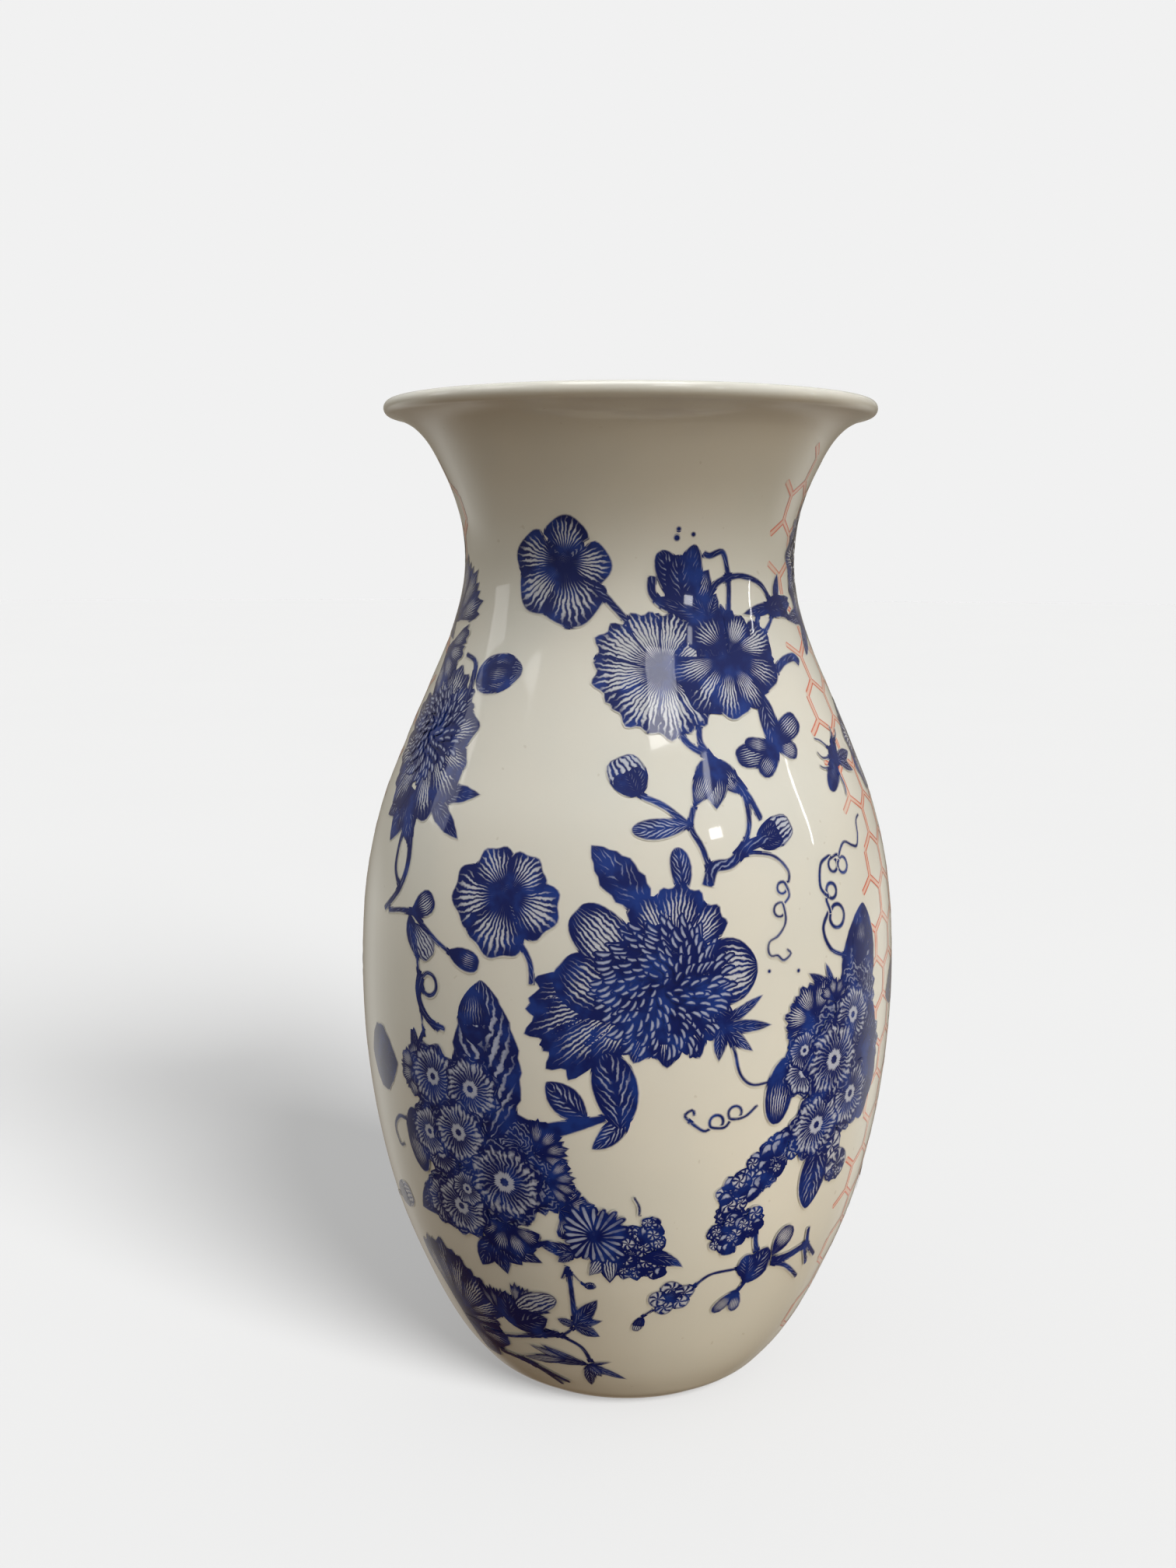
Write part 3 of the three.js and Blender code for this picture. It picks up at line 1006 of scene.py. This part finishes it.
def honeycomb(seed, leftEdge, rightEdge):
    # leftEdge and rightEdge give how far the bands reach, in mm, at a height
    draw = Random(seed)
    side, band = comb["side"], comb["band"]
    pitch = side * 3**0.5
    levels = [comb["footHeight"], comb["midHeight"], comb["topHeight"]]
    low, mid, high = np.interp(np.array(levels) * mm, wallZ, wallArc) / mm
    sheets = []
    for row in range(int((low - mid) / side / 1.5) - 1, int((high - mid) / side / 1.5) + 2):
        for col in range(-comb["cells"], comb["cells"] + 1):
            x = (col + 0.5 * (row % 2)) * pitch
            y = row * side * 1.5
            joint = (x, y + side / 2)
            ends = [(x, y - side / 2), (x - pitch / 2, y + side), (x + pitch / 2, y + side)]
            for endX, endY in ends:
                middle = ((joint[0] + endX) / 2, (joint[1] + endY) / 2)
                height = np.interp((mid + middle[1]) * mm, wallArc, wallZ) / mm
                slack = draw.uniform(0, comb["ragged"])
                inside = leftEdge(height) + slack < middle[0] < rightEdge(height) - slack
                if inside and low + slack < mid + middle[1] < high - slack:
                    sheets += combEdge(joint[0], joint[1], endX, endY, band)
    return sheets


def printSpray(shift):
    # the whole spray of flowers of one side, shifted round the vase by an angle
    side = "front_" if shift == 0 else "back_"
    print("stage: drawing the spray", side)

    def lay(name, sheets, angle, height, **more):
        # a higher lift puts this print over the ones that it overlaps
        layOnGlaze(side + name, sheets, angle + shift, height, **more)

    neckStem = stroke([(10, -4), (14, -8), (20, -14)], 2.6, 2.0)
    neckStem += stroke([(2.2, -15.6), (4.2, -16)], 0.9, 0.6)
    lay("neck_flower", openFlower() + neckStem, -22, 250)
    lay("ruffled_flower", ruffledFlower(), 14, 224)
    lay("facing_flower", facingFlower(), 36, 228, lift=0.16)
    lay("hooded_bud", hoodedBud(), 16.5, 240, lift=0.1)
    bloomTwigs = stroke([(-10, 28), (-8, 27.2), (-3.5, 28), (-1.8, 20), (-3, 11)], 2.2, 1.8)
    bloomTwigs += stroke([(-10, 15), (-5, 20), (3, 21.5), (11, 19), (15, 14)], 2.2, 2.0)
    bloomTwigs += stroke([(10, -7), (15, -4), (21, -3), (24, -5)], 3.2, 3.4)
    bloomTwigs += stroke([(6, 8), (9.5, 4), (10, -1), (8, -4)], 0.7)
    bloomTwigs += stroke([(9, 12), (7, 7), (9, 5), (13, 8), (16, 12)], 1.6)
    bloomTwigs += bladesFrom(17, 13, [(1.5, 10.5, 4), (20.5, 22.5, 4), (25, 9, 4.5), (27, 15, 4)], tone=0.75)
    bloomTwigs += bladesFrom(11, 12, [(27, 13, 7)], tone=0.85)
    lay("bloom_twigs", bloomTwigs, 36, 228, lift=0.1)
    peas = bladesFrom(2, 17, [(2.5, 1, 7)], tone=0.6, fat=0.5, blunt=0.4)
    peas += petalsFrom(3, 1, [(-12, -1, 8), (-5, -6.5, 6), (-8, 3.5, 5)], fat=0.62, blunt=0.6, tone=0.66)
    peas += petalsFrom(2, 3, [(10.5, -1, 6), (14, 9.5, 8)], fat=0.64, blunt=0.6, tone=0.66)
    lay("pea_blossoms", peas, 36, 200)
    stems = stroke([(5, 18), (8, 14), (14, 10), (20, 5), (25, -2), (28, -8)], 2.2, 2.0)
    stems += stroke([(11, 20), (11, 15), (14, 10)], 2.0)
    stems += stroke([(20, 5), (23.2, -1), (24, -9), (22, -14), (19, -17)], 2.0, 1.6)
    stems += stroke([(8, -3), (7, -9), (10, -15), (12, -22)], 2.0, 1.8)
    stems += stroke([(-8.5, 2.5), (-6, 0), (0, -3), (7, -9)], 1.8, 2.2)
    stems += stroke([(11, -25), (13, -20), (18, -19), (23, -15), (30, -13)], 4.2, 3.0, tone=0.35)
    stems += bladesFrom(7, -8, [(-9.5, -9.5, 6.4)], fat=0.6, bend=8, tone=0.36)
    stems += roundBud(-7, 0, -12, 11, 11)
    lay("flower_stems", stems, 8, 190)
    tulip = petalsFrom(14.5, 10, [(21.5, -0.5, 7), (9, 4, 6), (14.5, -4.5, 8), (8, -3.5, 7)], tone=0.7)
    lay("hanging_tulip", tulip, 8, 190, lift=0.1)
    tendril = [(-0.5, 14), (4, 14.4), (10, 13), (14, 9), (14, 6)] + loop(11.5, 4.3, 1.6, 45, -360)
    tendril += [(13.8, 2)] + loop(10.2, -1.6, 1.9, 40, -350) + [(12, -5), (9.5, -8.5), (6.5, -10)]
    tendril += [(6, -12.5), (7, -14), (9, -14), (11, -15.6), (13.5, -14), (12, -12.6)]
    lay("tendril_bud", roundBud(5, 17, 17, 22, 9) + stroke(tendril, 1.0, 0.7), 24, 160)
    mumLeaves = bladesFrom(-5, -31, [(-20.5, -13.5, 13)], tone=0.62, bite=0.2, blunt=0.7)
    mumLeaves += bladesFrom(4, -28, [(2.5, -14, 6.5)], bend=-20, fat=0.6, tone=0.56)
    lay("mum_leaves", mumLeaves, 8, 190)
    small = fiveFlower() + stroke([(5, -10), (8, -15), (8.5, -21)], 1.8)
    small += petalsFrom(-18.5, -15, [(-7.5, -17.5, 7)], fat=0.6, blunt=0.6, tone=0.72)
    lay("five_petal_flower", small, -24, 160)
    lay("chrysanthemum", chrysanthemum(), 5, 140)
    lay("twig_leaves", leafTwig(), -8, 100)
    tips = [(32, -4, 3.8), (35, -13, 4.2), (29, -20, 4), (18.5, -22, 4.4)]
    starLeaves = bladesFrom(19, -12, tips, tone=0.6)
    starLeaves += stroke([(20, -12), (23, -19), (25, -26), (29, -29.5), (36, -29)], 1.3, 0.9)
    lay("star_leaves", starLeaves, 5, 140)
    lay("left_cluster", leftCluster(), -38, 105)
    curls = stroke([(-20, -14), (-25, -14.5), (-29, -19), (-27, -24), (-24, -23)], 1.6, 1.2)
    curls += stroke([(-2, 17), (-8, 21), (-11, 27), (-10, 33)], 2.0, 1.4)
    lay("left_curls", curls, -38, 105)
    lay("right_cluster", rightCluster(), 48, 118)
    chain = thicket([(-14, -4, 6), (-17, -9, 6), (-24, -14, 5), (-26, -20, 5), (-25, -27, 6), (-19, -24, 5)])
    chain += lace(-10, 0, -30, -18, 9, 2.6, 46, 11) + palePetals([(9, -6, 5), (13, -13, 6)])
    chain += lace(9, -16, 15, -16, 3, 1.8, 8, 12)
    chain += lace(-28, -22, -23, -32, 9, 2.5, 20, 13) + lace(-16, -24, -22, -24, 7, 2.3, 9, 14)
    lay("floret_chain", chain, 42, 92)
    tendril = [(0, 0), (4, -3)] + loop(7.6, -0.6, 2.0, 230, 360) + [(10, -2.5)]
    tendril += loop(13, 1.5, 2.0, 240, 360) + [(16, 0), (20, 3)]
    hook = [(0, 0), (-1.5, 2), (0.6, 3.4), (1.2, 1.6)]
    lay("middle_tendril", stroke(tendril, 1.0) + stroke(hook, 1.0), 12.5, 101.5)
    tendril = [(-1, -18), (-8, -15), (-11, -9), (-8.4, -4.5)] + loop(-4.6, -6, 3.3, 150, -360) + [(-8.6, -1)]
    tendril += loop(-6, 1.3, 2.2, 220, 360) + [(-10.4, 3), (-9, 9), (-5, 11)]
    tendril += loop(-3.6, 8.4, 2.0, 90, -360) + [(-1, 11)] + loop(1, 7.8, 2.3, 120, 360)
    tendril += [(1, 12), (4, 14), (8, 12.5), (11, 12), (13, 15), (14, 19), (17, 20.5)]
    lay("far_tendril", stroke(tendril, 1.5, 0.9), 50, 160)
    lay("aster_spray", asterSpray(), 0, 62)
    lay("trailing_sprig", trailingSprig(), -12, 32)
    lay("side_flower", sideFlower(), -32, 36)
    lay("plum_branch", plumBranch(), 20, 52)
    lay("left_peony", peony(), -52, 200)
    sprigs = stroke([(-9, 30), (-6, 18), (-9, 9), (-17, 2)], 3.4, 2.0)
    sprigs += stroke([(-12, 30), (-13, 16), (-9, 10)], 1.8)
    sprigs += stroke([(-14, 2), (-7, 3.4), (0, 4)], 1.4, 2.2)
    sprigs += stroke([(0, 4), (10, -2), (17, -5.5)], 1.8, 1.4)
    sprigs += petalsFrom(-1, 4, [(8.5, 9.5, 8)], fat=0.64, bend=-16, tone=0.55)
    sprigs += bladesFrom(-2, 3, [(3, -9, 6)], tone=0.72)
    sprigs += bladesFrom(1, 1, [(9, -8, 8)], fat=0.7, ink="outlineInk")
    tendril = [(3, -8), (4, -13)] + loop(8.4, -15.4, 3.2, 150, -360)
    tendril += [(4, -18), (5, -22), (9, -26), (15, -27)]
    lay("left_sprigs", sprigs + stroke(tendril, 1.2, 2.0), -48, 150)
    budStem = stroke([(4, 14), (4, 20), (2, 26), (-4, 28)], 2.2, 1.6)
    lay("peony_bud", scaledBud(5, 22, 22, 24, 13) + budStem, -52, 200)
    lay("edge_leaf", bladesFrom(-16, -2, [(4, -1, 22)], tone=0.85, bite=0.1), -56.5, 108.6)
    lay("edge_bud", roundBud(-13, -3, 0, 2, 9) + stroke([(-22, -6), (-13, -3)], 1.6), -58, 63)
    lay("upper_left_petals", ruffle(-10, -6, 20, 20, 110) + ruffle(-8, -14, 16, -60, 20, 0.6), -66, 240)
    lay("bee", bee(), 60, 196)
    lay("bud_specks", specks([(-1, 19.5, 1.2), (-0.6, 22, 1.0), (3.8, 20.5, 1.0)]), 16.5, 240)
    lay("petal_specks", specks([(33.5, 2, 0.85), (43.5, 1, 0.9)]), 5, 140)
    drops = [(8, -50, 1.1), (11, -51.5, 1), (14, -50.5, 1.1), (17, -51, 1), (19.5, -49, 1.1)]
    lay("cluster_specks", specks(drops), -38, 105)


def printComb(side, seed, angle, leftEdge, rightEdge):
    sheets = honeycomb(seed, leftEdge, rightEdge)
    layOnGlaze("coral_honeycomb_" + side, sheets, angle, comb["midHeight"], lift=transfer["coralLift"],
               slot="coral_print")


def printSide(side, angle, hand):
    # the flowers between the front and the back; hand is -1 for the mirrored side
    mirror = hand < 0

    def lay(name, sheets, away, height, **more):
        layOnGlaze(side + name, sheets, angle + away * hand, height, **more)

    lay("neck_peony", peony(), -2, 250, turn=8, size=0.92, mirror=not mirror)
    lay("side_five_petals", fiveFlower(), 3, 198, turn=50)
    lay("side_leaf", bladesFrom(-15, -2, [(14, 4, 15)], tone=0.62, bite=0.05), -4, 126)
    lay("side_cluster", rightCluster(), 22, 124, turn=170, mirror=mirror)
    lay("side_aster", asterSpray(), 14, 70, turn=20, mirror=mirror)
    lay("side_twig", plumBranch(), 12, 34, turn=10, mirror=mirror)


print("stage: drawing the coral honeycomb")
printComb("right", 5, 77, lambda z: -27 if z < 215 else -22, lambda z: 58)
printComb("left", 6, -101, lambda z: -34, lambda z: 30)
printSpray(0)
printSpray(180)
print("stage: drawing the sides")
printSide("right_", 84, 1)
printSide("left_", -96, -1)
buildAllPrints()
print("stage: prints laid on the glaze", len(printed))

camera = {
    "place": (0, -530 * mm, 255 * mm),
    "pitch": 7.68,  # degrees down
    "yaw": 1.33,
    "roll": 0.2,
    "lens": 39.29,
    "sensor": 36,
}


def addCamera():
    data = bpy.data.cameras.new("camera")
    data.lens = camera["lens"]
    data.sensor_width = camera["sensor"]
    data.clip_start = 0.01
    seen = bpy.data.objects.new("camera", data)
    scene.collection.objects.link(seen)
    turned = Matrix.Rotation(radians(camera["yaw"]), 4, "Z")
    turned = turned @ Matrix.Rotation(radians(90 - camera["pitch"]), 4, "X")
    turned = turned @ Matrix.Rotation(radians(camera["roll"]), 4, "Z")
    seen.matrix_world = Matrix.Translation(camera["place"]) @ turned
    scene.camera = seen


addCamera()
print("stage: camera placed")

studio = {
    "room": 9,  # radius of the floor and of the dome
    "floor": (0.20, 0.20, 0.20, 1),
    "floorDark": (0.195, 0.195, 0.195, 1),
    "floorClouds": 3,  # faint patches of the paper, per metre
    "floorGlow": 0.327,
    "backdrop": 0.88,
    "zenith": (0.80, 0.81, 0.81, 1),  # the light from above, from eye level and from below
    "level": (0.285, 0.255, 0.205, 1),
    "nadir": (0.085, 0.040, 0.010, 1),
    "behind": (0.85, 0.83, 0.77, 1),  # the lit table behind the vase
    # over which heights, and how far back, each of them takes over from the one before
    "levelRange": (-0.80, 0.08),
    "zenithRange": (-0.02, 0.90),
    "tableRise": (-0.78, -0.28),
    "tableTop": (0.0, -0.16),
    "tableNear": (0.15, 0.75),
    "tableFar": (0.98, 0.72),
    "aim": (0, 0, 0.18),  # the suns and panels point here
    "sunDistance": 3,
    "panelDistance": 2.2,
    # turn to the right of the front and rise, in degrees, then power and spread
    "shadowSun": (34, 31, 12.8, 30),
    "keySun": (30, 64, 1.56, 34),
    "lowSun": (62, 4, 0.34, 50),
    "lowColour": (1, 0.92, 0.78),
    "bounce": 0.135,
    "bounceSize": 0.22,
    "bouncePlace": (0.13, -0.17, 0.010),
    "bounceAim": (0, 0, 0.06),
    "bounceColour": (1, 0.90, 0.74),
}

# Panels that show only as reflections in the glaze: turn, rise, width, height, radiance
panels = [
    (22, 44, 0.56, 0.42, 6.5),
    (41, 23, 0.22, 0.14, 14.0),
    (42, 33, 0.10, 0.18, 8.0),
    (90, 17, 0.03, 0.55, 22.0),
    (-96, 19, 0.50, 0.55, 1.5),
    (-75, 46, 0.90, 0.85, 1.9),
    (0, 82, 1.40, 1.40, 5.0),
]


def aimed(obj, turn, rise, distance):
    a, e = radians(turn), radians(rise)
    away = Vector((sin(a) * cos(e), -cos(a) * cos(e), sin(e)))
    obj.location = Vector(studio["aim"]) + away * distance
    obj.rotation_euler = away.to_track_quat("Z", "Y").to_euler()


def newLamp(name, kind, energy):
    data = bpy.data.lights.new(name, kind)
    data.energy = energy
    lamp = bpy.data.objects.new(name, data)
    scene.collection.objects.link(lamp)
    return lamp, data


def lightOnly(lamp, lit):
    group = bpy.data.collections.new(lamp.name + "Lit")
    for piece in lit:
        group.objects.link(piece)
    lamp.light_linking.receiver_collection = group
    lamp.visible_glossy = False


def addSun(name, turn, rise, power, spread, lit, colour=(1, 1, 1)):
    sun, data = newLamp(name, "SUN", power)
    data.color = colour
    data.angle = radians(spread)
    aimed(sun, turn, rise, studio["sunDistance"])
    lightOnly(sun, lit)


def addPanels():
    for k, (turn, rise, wide, high, radiance) in enumerate(panels):
        panel, data = newLamp("panel%d" % k, "AREA", radiance * pi * wide * high)
        data.shape = "RECTANGLE"
        data.size, data.size_y = wide, high
        aimed(panel, turn, rise, studio["panelDistance"])
        panel.visible_diffuse = False
        panel.visible_camera = False


def addTableBounce():
    # warm light thrown up by the table on the lower body
    patch, data = newLamp("tableBounce", "AREA", studio["bounce"])
    data.size = studio["bounceSize"]
    data.color = studio["bounceColour"]
    patch.location = studio["bouncePlace"]
    away = patch.location - Vector(studio["bounceAim"])
    patch.rotation_euler = away.to_track_quat("Z", "Y").to_euler()
    patch.visible_camera = False
    lightOnly(patch, vasePieces)


def addWorld():
    world = bpy.data.worlds.new("studio")
    world.use_nodes = True
    tree = world.node_tree
    way = node(tree, "ShaderNodeTexCoord").outputs["Generated"]
    _, back, up = node(tree, "ShaderNodeSeparateXYZ", {0: way}).outputs
    low = mixed(tree, blur(tree, up, *studio["levelRange"]), studio["nadir"], studio["level"])
    table = blur(tree, up, *studio["tableRise"])
    for along, limits in ((up, "tableTop"), (back, "tableNear"), (back, "tableFar")):
        table = calc(tree, "MULTIPLY", blur(tree, along, *studio[limits]), table)
    low = mixed(tree, table, low, studio["behind"])
    light = mixed(tree, blur(tree, up, *studio["zenithRange"]), low, studio["zenith"])
    tree.links.new(light, tree.nodes["Background"].inputs["Color"])
    scene.world = world


def glow(shader, strength):
    shader.inputs["Specular IOR Level"].default_value = 0.0
    shader.inputs["Emission Color"].default_value = (1, 1, 1, 1)
    shader.inputs["Emission Strength"].default_value = strength


def addFloor():
    bpy.ops.object.select_all(action="DESELECT")
    bpy.ops.mesh.primitive_circle_add(vertices=96, radius=studio["room"], fill_type="NGON")
    floor = bpy.context.object
    floor.name = "studio_floor"
    material, tree, shader = newMaterial("palePaper")
    clouds = noise(tree, node(tree, "ShaderNodeTexCoord").outputs["Object"], studio["floorClouds"])
    tree.links.new(mixed(tree, clouds, studio["floor"], studio["floorDark"]), shader.inputs["Base Color"])
    shader.inputs["Roughness"].default_value = 1.0
    glow(shader, studio["floorGlow"])
    floor.data.materials.append(material)
    floor.visible_diffuse = False
    floor.visible_glossy = False
    return floor


def addBackdrop():
    bpy.ops.object.select_all(action="DESELECT")
    bpy.ops.mesh.primitive_uv_sphere_add(segments=48, ring_count=24, radius=studio["room"])
    dome = bpy.context.object
    dome.name = "studio_backdrop"
    paint, _, shader = newMaterial("paleBackdrop")
    shader.inputs["Base Color"].default_value = (0, 0, 0, 1)
    glow(shader, studio["backdrop"])
    dome.data.materials.append(paint)
    for ray in ("visible_diffuse", "visible_glossy", "visible_transmission", "visible_shadow"):
        setattr(dome, ray, False)


vasePieces = [piece for piece in scene.objects if piece.type == "MESH"]
addWorld()
addTableBounce()
addPanels()
addBackdrop()
addSun("shadowSun", *studio["shadowSun"], [addFloor()])
addSun("keySun", *studio["keySun"], vasePieces)
addSun("lowSun", *studio["lowSun"], vasePieces, studio["lowColour"])
scene.view_settings.view_transform = "Standard"
print("stage: studio lit")
